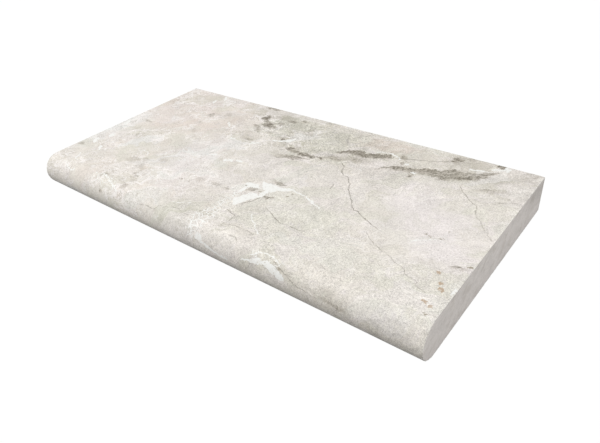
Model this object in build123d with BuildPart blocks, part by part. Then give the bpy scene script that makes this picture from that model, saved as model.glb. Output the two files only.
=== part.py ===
from build123d import *

import os

# Marble pool coping: one sawn slab with a full bullnose along its pool edge.
# X runs along the pool edge, Y from the nose to the back, and Z up.
# The origin is on the underside, at the middle of the slab's box.

# Driving dimensions, in millimetres
length = 610.0  # from one end joint to the other
width = 305.0  # from the tip of the nose to the back
thickness = 48.0  # from the underside to the top
arris_radius = 0.8  # rub on the sawn edges, which takes off their sharpness

# A full bullnose is a half round, so its radius follows the thickness
nose_radius = thickness / 2

nose_tip = -width / 2
nose_start = nose_tip + nose_radius
back = width / 2

with BuildPart() as coping_slab:
    # Section across the pool edge: flat underside, square back, flat top and half-round nose
    with BuildSketch(Plane.YZ) as section:
        with BuildLine() as outline:
            Polyline((nose_start, 0), (back, 0), (back, thickness), (nose_start, thickness))
            ThreePointArc((nose_start, thickness), (nose_tip, nose_radius), (nose_start, 0))
        make_face()
    extrude(amount=length / 2, both=True)

    # Every sawn edge is rubbed: the outlines of the two ends, and the back's top and bottom edges
    end_edges = coping_slab.faces().filter_by(Axis.X).edges()
    back_edges = coping_slab.faces().sort_by(Axis.Y)[-1].edges().filter_by(Axis.X)
    fillet(end_edges + back_edges, radius=arris_radius)

coping_slab.part.label = "coping_slab"

os.makedirs("parts", exist_ok=True)
export_step(coping_slab.part, "parts/coping_slab.step")
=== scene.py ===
# Looks of the marble pool coping: one slab, honed on top and round its nose, and sawn elsewhere.
import functools
import itertools
import math
import random

import bmesh
import bpy
from mathutils import Matrix, Vector, noise


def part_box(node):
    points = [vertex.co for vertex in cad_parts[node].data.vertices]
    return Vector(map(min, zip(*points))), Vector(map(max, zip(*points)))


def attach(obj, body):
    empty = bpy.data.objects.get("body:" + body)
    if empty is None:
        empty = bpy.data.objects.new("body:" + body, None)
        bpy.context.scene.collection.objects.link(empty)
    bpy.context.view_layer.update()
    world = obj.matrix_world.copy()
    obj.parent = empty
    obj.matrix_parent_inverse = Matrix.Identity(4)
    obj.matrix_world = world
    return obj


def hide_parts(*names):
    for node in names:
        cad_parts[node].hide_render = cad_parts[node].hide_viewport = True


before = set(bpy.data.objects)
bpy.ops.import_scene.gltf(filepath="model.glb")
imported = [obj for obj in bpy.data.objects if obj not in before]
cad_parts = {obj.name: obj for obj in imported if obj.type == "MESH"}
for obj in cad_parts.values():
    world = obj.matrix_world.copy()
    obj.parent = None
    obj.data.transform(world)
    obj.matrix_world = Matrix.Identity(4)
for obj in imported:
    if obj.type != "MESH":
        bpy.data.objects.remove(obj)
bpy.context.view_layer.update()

# Shapes are in metres, and the stone's pattern is laid out in millimetres
mm = 0.001

# The slab's own sizes, from its part in model.glb
slab_low, slab_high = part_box("coping_slab")
half_length = slab_high.x
back = slab_high.y
thickness = slab_high.z
nose_radius = thickness / 2
nose_start = slab_low.y + nose_radius

# Edges: the rub on every arris, how unevenly it is rubbed, and the nicks of handling
arris = 0.75 * mm
uneven_rub = 0.35 * mm
rub_reach = 1.5 * mm
nick_count = 60
nick_depth = (0.2 * mm, 0.7 * mm)
nick_radius = (3 * mm, 8 * mm)
nick_seed = 24
nick_reach = 4 * mm
on_arris = 0.3 * mm
rub_sizes = (9 * mm, 3 * mm)
fine_rub = 0.6

# Spacing of the slab's mesh, finest beside an arris
arris_steps = 4
nose_steps = 22
back_steps = 16
mesh_step = 2.6 * mm
beside_arris = (0.4 * mm, 1.1 * mm, 2.2 * mm)

# Spare room round each island of the bake map, and the shares of full scale for the underside and the ends
map_margin = 0.006
underside_scale = 0.5
end_scale = 0.985

# The stone changes from calm to lively between these places along the slab, in millimetres
calm_from = 80
lively_from = -140

# How wide the rubbed rim of the honed sheet is, in millimetres, and how deep a bump is
rubbed_rim = 1.6
bump_depth = 0.3 * mm

# How far the painted shade reaches over the right end from its upper back corner, in millimetres
corner_shade_reach = 76

# The camera, fitted to the photo's outline of the slab
camera_place = (440.2 * mm, -454.5 * mm, 394.7 * mm)
camera_azimuth = 40.99
camera_elevation = 34.77
camera_roll = -5.1
focal_pixels = 542.9
frame_width = 600
sensor_width = 36.0

# The studio: the floor's grey, its glow, how much of that the camera sees, and the sky's light
floor_grey = (0.28, 0.28, 0.28, 1.0)
floor_glow = 1.07
glow_share = 0.93
sky_light = 0.585

# Lamps of the studio: name, place, aim, diameter and power
lamps = [
    ("front_lamp", (-1.1, -1.1, 2.1), (0.0, 0.0, 0.0), 1.6, 31.8),
    ("end_lamp", (1.5, 0.15, 0.45), (0.3, 0.0, 0.02), 0.9, 5.0),
]


def tint(red, green, blue):
    """A colour as it shows on a screen, from 0 to 255, in the linear values that a shader takes."""
    shares = [value / 255 for value in (red, green, blue)]
    return tuple(s / 12.92 if s <= 0.04045 else ((s + 0.055) / 1.055) ** 2.4 for s in shares) + (1.0,)


# The stone's colours
cream = tint(232, 226, 217)
rosy = tint(236, 224, 215)
olive = tint(224, 221, 209)
lilac = tint(240, 233, 230)
ice = tint(237, 238, 235)
calcite = tint(251, 251, 247)
umber = tint(118, 111, 97)
clay = tint(168, 158, 142)
rust = tint(190, 166, 140)
dust = tint(226, 220, 215)
pale = tint(249, 244, 240)
smoke_and_shade = (0.82, 0.815, 0.785, 1.0)


class Pattern:
    """One output in a material's node tree. Operators on it add Math or Vector Math nodes."""

    def __init__(self, socket):
        self.socket = socket
        self.tree = socket.id_data

    def node(self, kind, settings=None, inputs=None, output=0):
        """Adds a node, sets it up, then gives its sockets their values or links, and returns one output."""
        made = self.tree.nodes.new("ShaderNode" + kind)
        for name, value in (settings or {}).items():
            if name == "curve":
                draw_curve(made.mapping, value)
            else:
                setattr(made, name, value)
        for name, value in (inputs or {}).items():
            if isinstance(value, Pattern):
                self.tree.links.new(value.socket, made.inputs[name])
            else:
                made.inputs[name].default_value = value
        return Pattern(made.outputs[output])

    def combine(self, operation, first, second):
        """Math on two values, at least one a link. A number beside a vector counts for all its parts."""
        links = [v for v in (first, second) if isinstance(v, Pattern)]
        if all(v.socket.type != "VECTOR" for v in links):
            return self.node("Math", {"operation": operation}, {0: first, 1: second})
        first, second = [(v, v, v) if isinstance(v, (int, float)) else v for v in (first, second)]
        return self.node("VectorMath", {"operation": operation}, {0: first, 1: second})

    def __add__(self, other):
        return self.combine("ADD", self, other)

    def __sub__(self, other):
        return self.combine("SUBTRACT", self, other)

    def __rsub__(self, other):
        return self.combine("SUBTRACT", other, self)

    def __mul__(self, other):
        return self.combine("MULTIPLY", self, other)

    __radd__ = __add__
    __rmul__ = __mul__

    def bigger(self, other):
        return self.combine("MAXIMUM", self, other)

    def size(self):
        """How far a value is from nought."""
        return self.node("Math", {"operation": "ABSOLUTE"}, {0: self})

    def scaled(self, factor, plus):
        """This value times a factor, plus another value."""
        return self.node("Math", {"operation": "MULTIPLY_ADD"}, {0: self, 1: factor, 2: plus})

    def parts(self, kind="SeparateXYZ"):
        """The three parts of a vector or a colour."""
        apart = self.node(kind, {}, {0: self}).socket.node
        return [Pattern(output) for output in apart.outputs]

    def step(self, start, end, low=0.0, high=1.0):
        """A smooth rise from low, where this is at start, to high, where it is at end."""
        settings = {"interpolation_type": "SMOOTHSTEP", "clamp": False}
        values = {"From Min": start, "From Max": end, "To Min": low, "To Max": high}
        return self.node("MapRange", settings, {"Value": self, **values})

    def grain(self, size, detail=2.0, roughness=0.5, output=0):
        """Noise of that size over these coordinates, about a half."""
        values = {"Scale": 1.0 / size, "Detail": detail, "Roughness": roughness}
        return self.node("TexNoise", {}, {"Vector": self, **values}, output)

    def mixed(self, colour, share, blend="MIX"):
        """This colour with a share of another one."""
        settings = {"data_type": "RGBA", "blend_type": blend}
        return self.node("Mix", settings, {0: share, 6: self, 7: colour}, 2)


class Sheet:
    """A place on the honed sheet, unrolled: along the slab, and from the back over top and nose."""

    def __init__(self, x, run):
        self.x = x
        self.run = run

    def flat(self):
        """The sheet's two measures as one vector."""
        return self.x.node("CombineXYZ", {}, {0: self.x, 1: self.run})

    def grain(self, size, detail=2.0, roughness=0.5, output=0):
        return self.flat().grain(size, detail, roughness, output)

    def cells(self, size, feature, output):
        """Cells of about that size over the sheet: a tone for each, or how far it is to a cell's rim."""
        here = self.flat()
        settings = {"voronoi_dimensions": "2D", "feature": feature}
        return here.node("TexVoronoi", settings, {"Vector": here, "Scale": 1.0 / size}, output)

    def frayed(self, size, reach):
        """The sheet pushed about by noise of that size, up to that reach."""
        red, green, _ = self.grain(size, 2.0, 0.55, "Color").parts("SeparateColor")
        double = 2.0 * reach
        return Sheet(red.scaled(double, self.x - reach), green.scaled(double, self.run - reach))

    def turned(self, centre, turn, wide=1.0, high=1.0):
        """The sheet about a centre, turned by degrees and measured in steps that wide and that high."""
        x, run = centre
        if turn == 0:
            return Sheet(self.x.scaled(1 / wide, -x / wide), self.run.scaled(1 / high, -run / high))
        across = math.cos(math.radians(turn))
        down = math.sin(math.radians(turn))
        along = self.run.scaled(down / wide, -(x * across + run * down) / wide)
        aside = self.run.scaled(across / high, (x * down - run * across) / high)
        return Sheet(self.x.scaled(across / wide, along), self.x.scaled(-down / high, aside))


def draw_curve(mapping, points):
    """Puts points on a Float Curve, which has its two end points already."""
    curve = mapping.curves[0]
    while len(curve.points) < len(points):
        curve.points.new(0.5, 0.5)
    for point, (along, height) in zip(curve.points, points):
        point.location = (along, height)
        point.handle_type = "AUTO_CLAMPED"
    mapping.update()


def new_material(name):
    """A material with one Principled shader, and the place of a point of the slab in millimetres."""
    material = bpy.data.materials.new(name)
    material.use_nodes = True
    shader = material.node_tree.nodes["Principled BSDF"]
    here = material.node_tree.nodes.new("ShaderNodeTexCoord").outputs["Object"]
    return material, shader, Pattern(here) * (1.0 / mm)


def drawn(name, sheet, draw, kind="NodeSocketFloat"):
    """What draw makes of the sheet, in a node group of its own, which is faster than one large tree."""
    group = bpy.data.node_groups.new(name, "ShaderNodeTree")
    for way in ("x", "run"):
        group.interface.new_socket(way, in_out="INPUT", socket_type="NodeSocketFloat")
    group.interface.new_socket("share", in_out="OUTPUT", socket_type=kind)
    x, run = group.nodes.new("NodeGroupInput").outputs[:2]
    made = draw(Sheet(Pattern(x), Pattern(run)))
    group.links.new(made.socket, group.nodes.new("NodeGroupOutput").inputs[0])
    return sheet.x.node("Group", {"node_tree": group}, {0: sheet.x, 1: sheet.run})


def strongest(*rows):
    """The strongest of rows of marks at each place, drawn one by one so that few are held at once."""
    return functools.reduce(Pattern.bigger, itertools.chain(*rows))


def feed(shader, name, pattern):
    pattern.tree.links.new(pattern.socket, shader.inputs[name])


def unrolled(place):
    """The honed sheet: flat on top, then round the nose."""
    x, y, z = place.parts()
    past_top = (nose_start / mm - y).bigger(0.0)
    turn = past_top.node("Math", {"operation": "ARCTAN2"}, {0: past_top, 1: z - nose_radius / mm})
    return Sheet(x, turn.scaled(nose_radius / mm, back / mm - y.bigger(nose_start / mm)))


def spot(sheet, centre, radii, turn=0, core=0.0):
    """A soft oval: full within a share of its radii, and nought at its rim."""
    oval = sheet.turned(centre, turn, *radii)
    return oval.x.scaled(oval.x, oval.run * oval.run).step(1.0, core * core)


def seam(sheet, points, half_width, taper=0.06):
    """A line through points, which thins out at its two ends."""
    first = Vector(points[0])
    way = Vector(points[-1]) - first
    turn = math.atan2(way.y, way.x)
    chord = sheet.turned(points[0], math.degrees(turn), way.length)
    bends = [Matrix.Rotation(-turn, 2) @ (Vector(p) - first) for p in points]
    reach = max(1.0, *(abs(p.y) for p in bends))
    curve = [(p.x / way.length, 0.5 + 0.5 * p.y / reach) for p in bends]
    share = chord.x
    bend = share.node("FloatCurve", {"curve": curve}, {"Value": share})
    off = bend.scaled(-2.0 * reach, chord.run + reach)
    ends = (share - 0.5).size().step(0.5, 0.5 - taper)
    return off.size().step(half_width, 0.35 * half_width) * ends


def streak(sheet, upper, lower, upper_soft, lower_soft):
    """What lies between an upper and a lower edge, each soft over its own width."""
    start = min(upper[0][0], lower[0][0])
    end = max(upper[-1][0], lower[-1][0])
    share = sheet.x.scaled(1 / (end - start), -start / (end - start))
    top = min(point[1] for point in upper)
    deep = max(point[1] for point in lower) - top
    inside = []
    for edge in (upper, lower):
        curve = [((px - start) / (end - start), (pv - top) / deep) for px, pv in edge]
        height = share.node("FloatCurve", {"curve": curve}, {"Value": share})
        inside.append(sheet.run - height.scaled(deep, top))
    ends = (share - 0.5).size().step(0.5, 0.47)
    return inside[0].step(0.0, upper_soft) * inside[1].step(0.0, -lower_soft) * ends


# What is drawn on the honed sheet. Places are millimetres along the slab and from its back edge,
# over the nose, and ovals turn by degrees. The stone flows this way across the sheet:
flow_turn = -30

# Areas with a tint of their own: centre, radii, colour and share
tinted_areas = [
    ((-215, 75), (140, 110), rosy, 0.9),
    ((110, 22), (46, 30), rosy, 0.8),
    ((-65, 40), (62, 40), olive, 0.85),
    ((15, 58), (70, 58), olive, 0.75),
    ((95, 235), (80, 52), olive, 0.7),
    ((255, 264), (58, 38), olive, 0.8),
    ((265, 140), (28, 18), olive, 0.6),
    ((-166, 222), (44, 34), olive, 0.6),
    ((-150, 250), (150, 70), rosy, 0.45),
    ((65, 138), (50, 34), olive, 0.35),
    ((120, 175), (30, 44), lilac, 0.4),
    ((-115, 195), (62, 46), lilac, 0.9),
    ((-88, 242), (56, 36), lilac, 0.8),
    ((195, 115), (46, 42), lilac, 0.8),
    ((225, 155), (46, 42), lilac, 0.9),
    ((268, 190), (44, 36), lilac, 0.9),
    ((-100, 136), (44, 30), lilac, 0.6),
    ((-25, 290), (54, 22), olive, 1.0),
    ((-75, 178), (26, 16), ice, 0.6),
    ((-298, 190), (26, 85), ice, 0.8),
]

# Areas that are darker as a whole, from the stone's own tone on the top and from painted shade on the nose:
# centre, radii, turn and share
darker_tone_and_shade_areas = [
    ((-130, 130), (330, 220), 0, 0.2),
    ((80, 32), (215, 80), 0, 0.8),
    ((240, 14), (80, 32), 0, 1.0),
    ((286, 44), (42, 44), 0, 0.9),
    ((272, 16), (34, 26), 0, 0.6),
    ((115, 100), (70, 56), 0, 0.45),
    ((104, 46), (34, 42), 0, 0.45),
    ((142, 124), (34, 28), 0, 0.4),
    ((-100, 18), (62, 34), 0, 0.9),
    ((-140, 50), (40, 32), 0, 0.4),
    ((-12, 78), (44, 44), 0, 1.0),
    ((-4, 50), (36, 60), 0, 0.65),
    ((-215, 16), (56, 36), 0, 1.0),
    ((-262, 50), (50, 40), 0, 0.7),
    ((-220, 90), (36, 28), 0, 0.3),
    ((-88, 112), (44, 34), 0, 1.0),
    ((-248, 190), (36, 28), 0, 0.6),
    ((-35, 250), (46, 34), 0, 0.5),
    ((-122, 176), (32, 38), 0, 0.45),
    ((5, 98), (70, 36), -10, 0.5),
    ((110, 212), (18, 26), 0, 0.15),
    # Painted shade on the nose, darker round its upper band and over its right half, partly the stone's own
    # tone
    ((140, 298), (80, 14), 0, 0.5),
    ((-14, 292), (60, 26), 0, 1.0),
    ((0, 286), (38, 26), 8, 1.0),
    ((0, 292), (44, 18), 0, 0.6),
    ((215, 318), (150, 17), 3, 0.7),
    ((60, 312), (90, 18), 0, 0.6),
]

# Where the grain is livelier or calmer than elsewhere: centre, radii and how much
lively_areas = [
    ((10, 55), (130, 80), 0.7),
    ((-80, 60), (70, 60), 0.4),
    ((230, 170), (110, 80), -0.35),
    ((60, 250), (150, 50), 0.15),
]

# Dark streaks: upper edge, lower edge, how soft each is, and how strong the streak is
dark_streaks = [
    ([(-18, 98), (-8, 94), (4, 95), (28, 96), (54, 98)],
     [(-18, 104), (-8, 109), (5, 108), (20, 108), (35, 105), (54, 101)], 4.0, 8.0, 0.85),
    ([(53, 71), (60, 65), (70, 57), (80, 53), (90, 55), (100, 50), (108, 47), (120, 45), (131, 48)],
     [(53, 79), (60, 78), (72, 74), (84, 74), (92, 73), (102, 69), (112, 66), (120, 60), (131, 53)],
     1.4, 8.0, 1.05),
    ([(112, 91), (128, 76), (137, 69), (142, 62), (155, 60), (175, 53), (195, 46), (203, 37), (220, 36),
      (240, 27), (250, 19), (261, 13)],
     [(112, 95), (133, 84), (140, 82), (160, 78), (178, 72), (190, 74), (205, 72), (222, 64), (232, 60),
      (240, 54), (250, 39), (261, 20)], 4.0, 8.0, 0.8),
    ([(118, 86), (137, 70), (150, 63), (165, 60), (182, 54), (196, 50), (208, 48)],
     [(118, 91), (137, 80), (150, 75), (165, 70), (182, 64), (196, 60), (208, 54)], 2.0, 6.0, 0.98),
    ([(192, 60), (210, 52), (228, 42), (242, 28), (259, 13)],
     [(192, 68), (210, 67), (228, 58), (242, 46), (259, 22)], 4.0, 5.0, 0.88),
    ([(190, 13), (200, 7), (210, 7)], [(190, 20), (200, 26), (210, 19)], 1.0, 7.0, 0.85),
    ([(247, 3), (253, -2), (261, -2)], [(247, 7), (254, 12), (261, 10)], 1.0, 3.0, 1.2),
    ([(211, 5), (216, 2), (222, 4)], [(211, 7), (216, 10), (222, 7)], 1.0, 3.0, 0.45),
    ([(276, 20), (288, 12), (301, 3)], [(276, 24), (288, 19), (301, 8)], 2.0, 4.0, 0.55),
]

# Smudges: centre, radii, turn and share
smudges = [
    ((-8, 100), (9, 7), -10, 1.0),
    ((5, 101), (9, 6), 20, 1.0),
    ((18, 102), (11, 6), -15, 1.1),
    ((31, 101), (10, 5), 0, 0.95),
    ((44, 100), (9, 5), 0, 1.0),
    ((0, 92), (8, 5), 40, 0.7),
    ((-104, 35), (9, 13), 20, 1.2),
    ((-98, 46), (9, 5), 40, 0.9),
    ((-88, 53), (15, 9), -20, 1.2),
    ((-76, 57), (10, 6), -25, 0.95),
    ((-72, 43), (13, 5), -40, 0.7),
    ((-60, 27), (12, 6), -10, 0.9),
    ((-42, 19), (11, 5), -20, 0.75),
    ((-80, 22), (30, 12), -10, 0.42),
    ((-98, 67), (16, 5), 30, 0.75),
    ((-90, 75), (14, 5), 35, 0.7),
    ((-68, 72), (9, 6), -20, 0.55),
    ((-46, 47), (10, 6), -30, 0.35),
    ((-36, 57), (8, 5), -20, 0.6),
    ((-34, 82), (6, 5), 0, 0.8),
    ((-80, 105), (11, 5), -20, 0.65),
    ((-118, 3), (24, 7), 0, 0.85),
    ((-268, 138), (14, 5), 0, 0.6),
    ((-193, 71), (11, 7), -25, 0.7),
    ((-184, 64), (9, 7), 0, 0.45),
    ((-169, 57), (9, 11), 10, 0.5),
    ((-191, 99), (6, 6), 0, 0.5),
    ((-177, 124), (8, 9), 0, 0.45),
    ((-181, 236), (14, 12), 0, 0.45),
    ((-157, 241), (10, 7), 0, 0.5),
    ((-147, 247), (7, 5), 0, 0.52),
    ((-147, 256), (6, 5), 0, 0.55),
    ((-139, 264), (6, 6), 0, 0.52),
    ((-133, 272), (6, 5), 0, 0.52),
    ((-133, 286), (7, 7), 0, 0.6),
    ((-142, 213), (8, 8), 0, 0.45),
    ((-166, 226), (8, 6), 0, 0.5),
    ((-181, 282), (12, 4), -30, 0.7),
    ((-190, 293), (10, 5), 0, 0.4),
    ((-29, 221), (11, 7), 0, 0.5),
    ((-58, 223), (9, 9), 0, 0.4),
    ((-8, 222), (9, 5), 0, 0.55),
    ((-297, 243), (6, 6), 0, 0.7),
    ((-172, 310), (5, 4), 0, 0.6),
    ((139, 42), (8, 8), 0, 0.75),
    ((145, 55), (8, 6), 0, 0.9),
    ((85, 79), (34, 12), -8, 0.6),
    ((168, 78), (4, 12), 0, 0.85),
    ((62, 89), (26, 8), -14, 0.62),
    ((49, 211), (10, 4), -35, 0.9),
    ((38, 179), (17, 5), 8, 0.8),
    ((18, 207), (10, 8), -45, 0.7),
    ((8, 116), (30, 7), -18, 0.8),
    ((262, 64), (24, 6), -20, 0.55),
    ((208, 313), (26, 5), 5, 0.55),
    ((292, 210), (14, 5), -30, 0.6),
]

# White calcite: bodies between two edges, lumps (centre, radii, turn), threads (points, half width)
white_bodies = [
    ([(17, 183), (25, 185), (31, 185), (38, 185), (50, 184), (58, 180), (68, 181), (80, 184)],
     [(17, 186), (25, 193), (31, 200), (40, 200), (50, 193), (60, 189), (68, 185), (80, 186)]),
    ([(13, 232), (19, 222), (25, 212), (39, 213)], [(13, 234), (18, 240), (23, 246), (30, 232), (39, 216)]),
    ([(2, 198), (8, 195), (16, 194), (24, 198)], [(2, 203), (8, 208), (14, 204), (24, 201)]),
    ([(84, 311), (95, 306), (105, 302), (115, 300), (125, 299), (135, 302), (148, 309)],
     [(84, 312), (95, 310), (105, 309), (115, 307), (125, 308), (135, 312), (148, 315)]),
]
white_lumps = [
    ((38, 206), (5, 13), 0),
    ((9, 213), (4, 9), 10),
    ((20, 307), (7, 6), 0),
    ((-25, 80), (9, 6.5), -30),
    ((-33, 85), (8, 4), -20),
    ((-21, 73), (5, 3), -40),
    ((-42, 89), (8, 2.5), -20),
    ((-278, 202), (6, 9), 0),
    ((-286, 226), (4, 12), -40),
    ((-295, 160), (5, 12), -30),
    ((-221, 10), (13, 3), 55),
    ((-228, 28), (4, 10), -15),
    ((-104, 115), (6, 4), -20),
    ((-63, 110), (12, 3), -30),
    ((-142, 82), (11, 3), 45),
    ((-90, 165), (8, 3), -32),
    ((-258, 238), (11, 3), 45),
    ((303, 243), (3, 7), 0),
    ((264, 8), (3, 9), 0),
    ((168, 72), (3.5, 2), -20),
    ((150, 57), (5, 1.8), -30),
]
white_threads = [
    ([(68, 183), (84, 185), (92, 188), (98, 191), (106, 193), (118, 199)], 1.2),
    ([(88, 187), (96, 190), (104, 192)], 2.2),
    ([(98, 47), (108, 43), (120, 41), (131, 45), (139, 50)], 1.7),
    ([(222, 29), (232, 26), (240, 24)], 2.6),
    ([(246, 18), (252, 13), (258, 10), (262, 1)], 2.8),
    ([(232, 197), (245, 186), (255, 180)], 0.8),
    ([(22, 311), (45, 316), (68, 319)], 2.0),
    ([(96, 299), (110, 295), (122, 293), (140, 298)], 1.0),
    ([(56, 246), (62, 255), (72, 262), (90, 275)], 1.0),
    ([(-68, 170), (-60, 167), (-54, 164)], 4.4),
    ([(-51, 163), (-46, 161), (-40, 159)], 3.8),
    ([(-268, 287), (-262, 292), (-250, 297), (-238, 293)], 1.1),
    ([(-192, 285), (-175, 284), (-160, 290), (-148, 294), (-138, 299)], 1.2),
    ([(-272, 262), (-262, 274), (-252, 282)], 1.1),
    ([(-200, 213), (-186, 210), (-172, 216)], 1.0),
    ([(-24, 268), (-34, 275), (-48, 280)], 0.9),
]

# Cracks: points, half width and share
cracks = [
    ([(70, 90), (84, 101), (87, 108), (95, 120), (102, 120), (113, 131), (122, 147), (137, 163), (149, 178),
      (155, 179), (170, 187), (198, 199)], 0.9, 0.65),
    ([(183, 206), (208, 223), (222, 228), (237, 235), (250, 240), (253, 245), (266, 249),
      (270, 254), (290, 259)], 0.8, 0.38),
    ([(229, 70), (243, 86), (258, 98), (263, 102), (266, 110), (268, 118)], 0.9, 0.48),
    ([(267, 116), (278, 127), (290, 142), (305, 155)], 0.8, 0.3),
    ([(-14, 129), (-3, 124), (0, 118), (10, 114), (28, 111), (36, 109)], 1.4, 0.45),
    ([(130, 49), (140, 44), (150, 42), (160, 38), (182, 29), (204, 12)], 1.8, 0.36),
    ([(300, 72), (285, 80), (275, 88)], 1.2, 0.3),
    ([(41, 215), (37, 226), (30, 239)], 1.0, 0.65),
    ([(62, 230), (72, 234), (78, 237), (88, 242), (98, 245)], 0.8, 0.55),
    ([(108, 244), (121, 244), (130, 242)], 0.8, 0.6),
    ([(22, 256), (32, 259), (42, 261)], 0.8, 0.6),
    ([(40, 281), (55, 276), (70, 276), (86, 277)], 0.8, 0.4),
    ([(40, 260), (42, 270), (40, 281)], 0.7, 0.4),
    ([(58, 290), (70, 291), (76, 296)], 0.8, 0.5),
    ([(137, 300), (150, 305), (160, 310), (180, 313)], 0.9, 0.45),
    ([(-96, 302), (-80, 299), (-66, 300), (-56, 292), (-44, 290), (-34, 287), (-18, 289),
      (-4, 287)], 0.7, 0.4),
    ([(40, 20), (46, 36), (56, 52)], 1.2, 0.3),
    ([(-30, 20), (-18, 40), (-10, 62)], 1.2, 0.3),
    ([(50, 28), (62, 14), (72, 6)], 1.2, 0.35),
    ([(97, 144), (100, 150), (101, 156)], 1.2, 0.6),
]

# Rust spots, and dark grains: centre, radii and turn
rust_spots = [
    ((279, 226), (4, 2.4), 30),
    ((288, 240), (4, 3), 42),
    ((292, 247), (5, 3), 42),
    ((286, 269), (5, 2.6), 20),
    ((294, 272), (3.5, 3), 0),
]
dark_grains = [
    ((294, 283), (3, 2), 0),
    ((240, 178), (2.4, 1.6), 0),
    ((246, 179), (2.6, 1.6), 40),
    ((258, 176), (4, 1.8), -20),
    ((259, 162), (1.6, 3.5), 0),
    ((301, 203), (2.6, 4), 30),
    ((-80, 236), (3.6, 2.8), 0),
    ((30, 206), (4, 4), 0),
    ((6, 204), (2.2, 2.2), 0),
    ((67, 197), (2.4, 2.4), 0),
    ((70, 189), (2.4, 2.4), 0),
    ((122, 296), (2.6, 1.8), 0),
    ((131, 298), (4, 1.8), 20),
    ((139, 302), (4, 1.8), 40),
]

# Webs of white threads: centre, radii, turn and share
white_webs = [
    ((8, 285), (17, 34), 8, 1.1),
    ((8, 240), (10, 30), 0, 0.9),
    ((-172, 292), (44, 14), 5, 0.6),
    ((-120, 255), (40, 26), 0, 0.5),
    ((-130, 190), (50, 30), -20, 0.55),
    ((120, 296), (34, 8), 0, 0.6),
    ((100, 95), (22, 12), -20, 0.5),
]


def bumped(height, strength):
    """The bump that heights over a surface make."""
    return height.node("Bump", {}, {"Height": height, "Strength": strength, "Distance": bump_depth})


def grey(light):
    """A light level as a colour."""
    return light.node("CombineColor", {}, {0: light, 1: light, 2: light})


def ridge(noise, level, reach):
    """A thin line where noise passes through a level."""
    return (noise - level).size().step(reach, 0.2 * reach)


def clouded(sheet):
    """The ground of the stone: cream and olive clouds, with the tinted areas over them, and the darker
    areas, which are the stone's own tone on the top and partly painted shade on the nose.
    """
    drift = sheet.frayed(60, 45).frayed(14, 22)
    share = sheet.grain(90, 4.0, 0.6).step(0.45, 0.7)
    ground = share.node("Mix", {"data_type": "RGBA"}, {0: share * 0.6, 6: cream, 7: olive}, 2)
    for centre, radii, colour, share in tinted_areas:
        ground = ground.mixed(colour, spot(drift, centre, radii) * share)
    # Darker areas: the stone's own tone, and painted shade on the nose
    for centre, radii, turn, share in darker_tone_and_shade_areas:
        ground = ground.mixed(smoke_and_shade, spot(drift, centre, radii, turn) * share, "MULTIPLY")
    return ground


def dark_marks(sheet):
    """Smudges and streaks, which the flow of the stone has frayed."""
    rough = sheet.frayed(9, 8).frayed(2.6, 3.5)
    ovals = (spot(rough, *oval) * share for *oval, share in smudges)
    return strongest(ovals, (streak(rough, *edges) * share for *edges, share in dark_streaks))


def white_marks(sheet):
    """Bodies, lumps and threads of calcite, and the webs of finer threads."""
    crisp = sheet.frayed(7, 4).frayed(2, 1.4)
    net = crisp.cells(7, "DISTANCE_TO_EDGE", "Distance").step(0.13, 0.04)
    webs = strongest(spot(crisp, *oval, 0.5) * share for *oval, share in white_webs) * net
    bodies = (streak(crisp, *edges, 0.9, 0.9) for edges in white_bodies)
    lumps = (spot(crisp, *lump, 0.4) for lump in white_lumps)
    return strongest(bodies, lumps, (seam(crisp, *thread) for thread in white_threads), [webs])


def crack_marks(sheet):
    """Hairline cracks, each broken here and there."""
    wavering = sheet.frayed(6, 2.5)
    lines = (seam(wavering, *line) * share for *line, share in cracks)
    return strongest(lines) * sheet.grain(7, 2.0, 0.5).step(0.36, 0.5, 0.55, 1.0)


def rust_marks(sheet):
    crisp = sheet.frayed(3, 3)
    return strongest(spot(crisp, *oval, 0.3) for oval in rust_spots)


def grain_marks(sheet):
    crisp = sheet.frayed(3, 3)
    return strongest(spot(crisp, *oval, 0.3) for oval in dark_grains)


def liveliness(sheet):
    """How strong the stone's grain is, place by place."""
    lively = sheet.x.step(calm_from, lively_from, 1.08, 0.78)
    for centre, radii, more in lively_areas:
        lively = spot(sheet, centre, radii).scaled(more, lively)
    return lively


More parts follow.
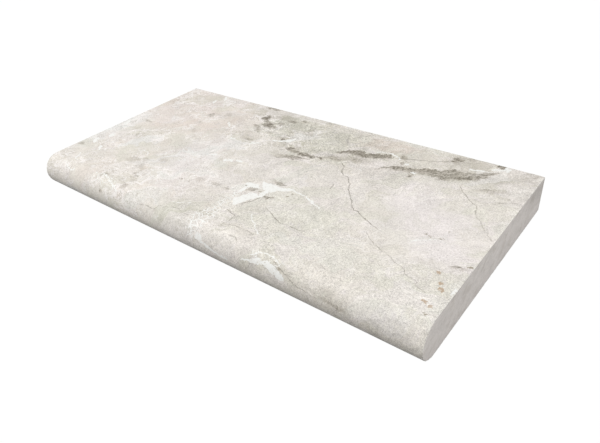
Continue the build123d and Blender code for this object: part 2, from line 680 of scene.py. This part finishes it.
def mottled(ground, place, sheet, flow, strands):
    """The ground with its flow, its shards and their pale rims, its mottling and its crystal grain."""
    bands = flow.grain(16, 3.0, 0.65)
    ground = ground.mixed(olive, bands.step(0.52, 0.66) * 0.6)
    ground = ground.mixed(lilac, bands.step(0.46, 0.34) * 0.5)
    leftward = sheet.x.step(calm_from, lively_from, 0.35, 1.0)
    patches = place.grain(40, 2.0, 0.5).step(0.4, 0.56) * leftward
    shards = flow.frayed(16, 22).frayed(4, 7)
    warm, cold, bluish = shards.cells(24, "F1", "Color").parts("SeparateColor")
    ground = ground.mixed(olive, warm.step(0.5, 0.9) * 0.5).mixed(lilac, cold.step(0.5, 0.9) * 0.45)
    ground = ground.mixed(ice, bluish.step(0.7, 1.0) * leftward * 0.5)
    rims = shards.cells(24, "DISTANCE_TO_EDGE", "Distance").step(0.08, 0.02)
    winding = sheet.frayed(9, 12).grain(26, 3.0, 0.65)
    fine = ridge(flow.frayed(5, 6).grain(9, 2.0, 0.6), 0.5, 0.018)
    threads = rims.bigger(ridge(winding, 0.5, 0.018)).bigger(fine) * patches
    ground = ground.mixed(pale, threads * 0.95).mixed(clay, ridge(winding, 0.53, 0.016) * patches * 0.35)
    chips, _, _ = shards.cells(7, "F1", "Color").parts("SeparateColor")
    light = place.grain(36, 4.0, 0.9) * 0.55 + flow.grain(4, 2.0, 0.7) * 0.4 + chips * 0.06
    crystals = place.grain(0.9, 1.0, 0.8) * 1.05 + place.grain(2.0, 1.0, 0.6) * 0.5
    lively = drawn("liveliness", sheet, liveliness)
    # The five weights add up to 2.56, and each noise is about a half
    ground = ground.mixed(grey((light + crystals - 0.5 * 2.56) * lively + 1.0), 1.0, "MULTIPLY")
    clusters = flow.grain(24, 2.0, 0.5)
    dashes = strands.step(0.61, 0.68) * clusters.step(0.56, 0.42)
    dark = place.grain(1.9, 1.0, 0.5).step(0.6, 0.72) * clusters.step(0.46, 0.62) * leftward
    return ground.mixed(clay, dark * 0.6).mixed(calcite, dashes * leftward * 0.7)


def veined(colour, place, sheet, strands):
    """Streaks, smudges, calcite, cracks and rust over the ground, and how open the cracks are."""
    tear = strands * 4.6 + place.grain(2.2, 1.0, 0.7) * 2.6 - 2.6
    dark = drawn("dark_marks", sheet, dark_marks)
    colour = colour.mixed(clay, dark * 0.6)
    colour = colour.mixed(umber, (dark * tear).step(0.4, 1.4) * 0.88)
    inner = ridge(place.grain(6, 2.0, 0.6), 0.5, 0.03)
    white = (tear * 0.2 + drawn("white_marks", sheet, white_marks) - inner * 0.5).step(0.6, 0.8)
    colour = colour.mixed(calcite, white * place.grain(4, 2.0, 0.6).step(0.34, 0.55, 0.75, 1.0))
    rusty = (tear * drawn("rust_marks", sheet, rust_marks)).step(0.2, 0.95)
    grains = (tear * drawn("grain_marks", sheet, grain_marks)).step(0.3, 1.3)
    cracked = drawn("crack_marks", sheet, crack_marks)
    colour = colour.mixed(rust, rusty * 0.85).mixed(clay, grains).mixed(umber, cracked)
    return colour, cracked


def honed_marble():
    """The honed finish: clouded ground, calcite, streaks, cracks and rust, smooth but not shiny."""
    material, shader, place = new_material("honed_marble")
    sheet = unrolled(place)
    flow = sheet.frayed(45, 40).turned((0, 0), flow_turn, 2.2)
    strands = flow.turned((0, 0), 0, 2.2).grain(4, 3.0, 0.75)
    ground = drawn("clouded_ground", sheet, clouded, "NodeSocketColor")
    ground = mottled(ground, place, sheet, flow, strands)
    colour, open_crack = veined(ground, place, sheet, strands)
    ends = sheet.x.size().step(half_length / mm - rubbed_rim, half_length / mm)
    rubbed = ends.bigger(sheet.run.step(rubbed_rim, 0.0)) * place.grain(5, 2.0, 0.6).step(0.35, 0.65)
    feed(shader, "Base Color", colour.mixed(calcite, rubbed * 0.35))
    shader.inputs["Specular IOR Level"].default_value = 0.3
    feed(shader, "Roughness", place.grain(3, 3.0, 0.6) * 0.16 + rubbed * 0.1 + open_crack * 0.2 + 0.36)
    height = place.grain(1.6, 2.0, 0.6) * 0.25 - open_crack
    feed(shader, "Normal", bumped(height, 0.3))
    return material


def sawn_marble():
    """The sawn finish: dusty and plain, with the faint slanting marks of the blade, and painted shade on
    the right end at its upper back corner and along its top edge.
    """
    material, shader, place = new_material("sawn_marble")
    values = {"Rotation": (0.0, math.radians(-18), math.radians(50)), "Scale": (26.0, 1.0, 1.0)}
    slant = place.node("Mapping", {"vector_type": "TEXTURE"}, {"Vector": place, **values})
    marks = slant.grain(1.6, 2.0, 0.6)
    broad = slant.grain(7, 2.0, 0.6)
    light = place.grain(34, 4.0, 0.85) * 0.34 + place.grain(1.2, 1.0, 0.6) * 0.3
    light = light + marks * 0.16 + broad * 0.3
    tone = grey(light + 0.45).mixed(dust, 1.0, "MULTIPLY")
    tone = tone.mixed(clay, slant.grain(11, 3.0, 0.6).step(0.5, 0.66) * 0.22)
    along, across, rise = place.parts()
    # Painted shade on the right end: darker at its upper back corner and along its top edge, in umber
    corner_shade = spot(Sheet(across, rise), (back / mm, thickness / mm), (corner_shade_reach, 0.8 * thickness / mm))
    top_edge_shade = rise.step(thickness / mm - 2.6, thickness / mm - 0.8)
    right_end = along.step(half_length / mm - 4, half_length / mm - 2)
    tone = tone.mixed(umber, corner_shade.bigger(top_edge_shade) * right_end * 0.24)
    pits = place.grain(2.6, 2.0, 0.6).step(0.66, 0.74)
    feed(shader, "Base Color", tone.mixed(clay, pits * 0.3))
    feed(shader, "Roughness", marks * 0.16 + 0.62)
    height = marks + place.grain(0.9, 2.0, 0.6) * 0.6 - pits
    feed(shader, "Normal", bumped(height, 0.25))
    return material


def outline_half():
    """Upper half of the section, from the back over the top to the nose's tip: places and normals."""
    half = []
    for i in range(arris_steps + 1):
        normal = Vector((math.cos(math.pi / 2 * i / arris_steps), math.sin(math.pi / 2 * i / arris_steps)))
        half.append((Vector((back - arris, thickness - arris)) + arris * normal, normal))
    flat_length = back - arris - nose_start
    steps = [*beside_arris]
    count = round((flat_length - steps[-1]) / mesh_step)
    steps += [steps[-1] + (flat_length - steps[-1]) * i / count for i in range(1, count)]
    half += [(Vector((back - arris - s, thickness)), Vector((0, 1))) for s in steps]
    for i in range(nose_steps + 1):
        angle = math.pi / 2 * (1 + i / nose_steps)
        normal = Vector((math.cos(angle), math.sin(angle)))
        half.append((Vector((nose_start, nose_radius)) + nose_radius * normal, normal))
    return half


def stations():
    """Places along the slab where its section is drawn, and how far the section draws in there."""
    angles = [math.pi / 2 * i / arris_steps for i in range(arris_steps, -1, -1)]
    right = [(half_length - arris * (1 - math.sin(a)), arris * (1 - math.cos(a))) for a in angles]
    right += [(half_length - arris - s, 0.0) for s in beside_arris]
    reach = right[-1][0]
    count = round(2 * reach / mesh_step)
    middle = [(-reach + 2 * reach * i / count, 0.0) for i in range(1, count)]
    return [(-x, inset) for x, inset in right] + middle + right[::-1]


def lengths(points):
    """How far along a row of points each one lies."""
    total = [0.0]
    for first, second in zip(points, points[1:]):
        total.append(total[-1] + (second - first).length)
    return total


def slab_mesh():
    """The slab as one closed mesh, mapped for baking: its section swept along, and a grid on each end."""
    half = outline_half()
    tip = len(half) - 1
    lower = [(Vector((p.x, thickness - p.y)), Vector((n.x, -n.y))) for p, n in half]
    rise = [arris + (thickness - 2 * arris) * k / back_steps for k in range(1, back_steps)]
    outline = half + lower[tip - 1::-1] + [(Vector((back, z)), Vector((1, 0))) for z in rise]
    around = len(outline)
    honed_end = 2 * tip - (len(half) - 1 - nose_steps)
    sweep = stations()
    along = lengths([Vector((x, -inset)) for x, inset in sweep])
    girth = lengths([p for p, n in outline + outline[:1]])
    full = (1.0 - 2 * map_margin) / along[-1]
    under_row = 2 * map_margin + girth[honed_end] * full
    back_row = under_row + map_margin + (girth[2 * tip] - girth[honed_end]) * full * underside_scale
    end_row = back_row + map_margin + (girth[around] - girth[2 * tip]) * full
    islands = [
        (honed_end, 0, full, map_margin),
        (2 * tip, honed_end, full * underside_scale, under_row),
        (around, 2 * tip, full, back_row),
    ]
    mesh = bmesh.new()
    bake_map = mesh.loops.layers.uv.new("OFBake")
    rings = []
    for x, inset in sweep:
        rings.append([mesh.verts.new((x, *(p - n * inset))) for p, n in outline])
    for row in range(len(sweep) - 1):
        for i in range(around):
            j = (i + 1) % around
            face = mesh.faces.new((rings[row][i], rings[row][j], rings[row + 1][j], rings[row + 1][i]))
            face.material_index = 0 if i < honed_end else 1
            scale, first, base = next((s, f, b) for end, f, s, b in islands if i < end)
            corners = ((row, i), (row, i + 1), (row + 1, i + 1), (row + 1, i))
            for loop, (station, point) in zip(face.loops, corners):
                wide = map_margin + along[station] * scale
                loop[bake_map].uv = (wide, base + (girth[point] - girth[first]) * scale)
    for ring, column_start in ((rings[0], map_margin), (rings[-1], 0.5 + map_margin / 2)):
        columns = []
        for i in range(tip):
            above = ring[i]
            below = ring[2 * tip - i]
            if i == 0:
                between = ring[:2 * tip:-1]
            else:
                shares = [k / back_steps for k in range(1, back_steps)]
                between = [mesh.verts.new(above.co.lerp(below.co, share)) for share in shares]
            columns.append([above, *between, below])
        columns.append([ring[tip]] * (back_steps + 1))
        for left, right in zip(columns, columns[1:]):
            for k in range(back_steps):
                corners = list(dict.fromkeys([left[k], left[k + 1], right[k + 1], right[k]]))
                face = mesh.faces.new(corners)
                face.material_index = 1
                for loop in face.loops:
                    spot_on_end = loop.vert.co
                    wide = column_start + (spot_on_end.y - slab_low.y) * full * end_scale
                    loop[bake_map].uv = (wide, end_row + spot_on_end.z * full * end_scale)
    bmesh.ops.recalc_face_normals(mesh, faces=mesh.faces)
    return mesh


def nearest_faces(place):
    """The two faces that a place is nearest to, each as its distance and its outward direction."""
    end = (half_length - abs(place.x), Vector((math.copysign(1.0, place.x), 0, 0)))
    behind = (back - place.y, Vector((0, 1, 0)))
    if place.y < nose_start:
        out = Vector((0, place.y - nose_start, place.z - nose_radius))
        skin = (nose_radius - out.length, out.normalized())
    elif place.z > nose_radius:
        skin = (thickness - place.z, Vector((0, 0, 1)))
    else:
        skin = (place.z, Vector((0, 0, -1)))
    return sorted((end, behind, skin), key=lambda face: face[0])[:2]


def rub_edges(mesh):
    """Rubs the arrises unevenly. It only takes stone away."""
    for vert in mesh.verts:
        (near, first), (far, second) = nearest_faces(vert.co)
        if far < rub_reach:
            broad, fine = [noise.noise(vert.co / size) for size in rub_sizes]
            worn = max(0.0, broad + fine_rub * fine)
            vert.co -= (first + second).normalized() * uneven_rub * worn * (1 - far / rub_reach)


def nick_edges(mesh):
    """Takes small shell-shaped nicks out of the arrises, pushing in what lies within some balls."""
    chance = random.Random(nick_seed)
    edges = [vert.co.copy() for vert in mesh.verts if nearest_faces(vert.co)[1][0] < on_arris]
    balls = []
    for i in range(nick_count):
        place = chance.choice(edges)
        (near, first), (far, second) = nearest_faces(place)
        radius = chance.uniform(*nick_radius)
        depth = chance.uniform(*nick_depth)
        balls.append((place + (first + second).normalized() * (radius - depth), radius))
    for vert in mesh.verts:
        if nearest_faces(vert.co)[1][0] > nick_reach:
            continue
        for centre, radius in balls:
            off = vert.co - centre
            if off.length < radius:
                vert.co = centre + off.normalized() * radius


def make_slab():
    mesh = slab_mesh()
    rub_edges(mesh)
    nick_edges(mesh)
    data = bpy.data.meshes.new("coping_stone")
    for face in mesh.faces:
        face.smooth = True
    mesh.to_mesh(data)
    mesh.free()
    slab = bpy.data.objects.new("coping_stone", data)
    bpy.context.scene.collection.objects.link(slab)
    data.materials.append(honed_marble())
    data.materials.append(sawn_marble())
    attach(slab, "root")
    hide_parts("coping_slab")


def make_floor():
    """A pale floor that shows white to the camera and keeps a soft shadow."""
    mesh = bmesh.new()
    bmesh.ops.create_grid(mesh, x_segments=1, y_segments=1, size=6.0)
    data = bpy.data.meshes.new("studio_floor")
    mesh.to_mesh(data)
    mesh.free()
    floor = bpy.data.objects.new("studio_floor", data)
    bpy.context.scene.collection.objects.link(floor)
    material = bpy.data.materials.new("studio_floor")
    material.use_nodes = True
    tree = material.node_tree
    shader = tree.nodes["Principled BSDF"]
    shader.inputs["Base Color"].default_value = floor_grey
    shader.inputs["Roughness"].default_value = 1.0
    shader.inputs["Specular IOR Level"].default_value = 0.0
    glow = tree.nodes.new("ShaderNodeEmission")
    glow.inputs["Strength"].default_value = floor_glow
    path = Pattern(tree.nodes.new("ShaderNodeLightPath").outputs["Is Camera Ray"])
    both = path.node("MixShader", {}, {0: path * glow_share})
    tree.links.new(shader.outputs[0], both.socket.node.inputs[1])
    tree.links.new(glow.outputs[0], both.socket.node.inputs[2])
    tree.links.new(both.socket, tree.nodes["Material Output"].inputs["Surface"])
    data.materials.append(material)


def make_light():
    """A soft studio: an even sky, a large lamp in front on the left, and a weak one on the right."""
    world = bpy.data.worlds.new("studio")
    bpy.context.scene.world = world
    world.use_nodes = True
    tree = world.node_tree
    sky = tree.nodes["Background"]
    sky.inputs["Color"].default_value = (1.0, 1.0, 1.0, 1.0)
    path = Pattern(tree.nodes.new("ShaderNodeLightPath").outputs["Is Camera Ray"])
    tree.links.new((path * (1.0 - sky_light) + sky_light).socket, sky.inputs["Strength"])
    for name, place, aim, size, energy in lamps:
        lamp = bpy.data.lights.new(name, "AREA")
        lamp.shape = "DISK"
        lamp.size = size
        lamp.energy = energy
        holder = bpy.data.objects.new(name, lamp)
        holder.location = place
        holder.rotation_euler = (Vector(aim) - Vector(place)).to_track_quat("-Z", "Y").to_euler()
        bpy.context.scene.collection.objects.link(holder)


def make_camera():
    """The camera, where the photo was taken from."""
    lens = bpy.data.cameras.new("camera")
    lens.sensor_width = sensor_width
    lens.lens = focal_pixels * sensor_width / frame_width
    lens.clip_start = 0.01
    holder = bpy.data.objects.new("camera", lens)
    turn = Matrix.Rotation(math.radians(camera_azimuth), 4, "Z")
    tip = Matrix.Rotation(math.radians(90 - camera_elevation), 4, "X")
    roll = Matrix.Rotation(math.radians(camera_roll), 4, "Z")
    holder.matrix_world = Matrix.Translation(camera_place) @ turn @ tip @ roll
    bpy.context.scene.collection.objects.link(holder)
    bpy.context.scene.camera = holder


make_slab()
make_floor()
make_light()
make_camera()
bpy.context.scene.view_settings.view_transform = "Standard"
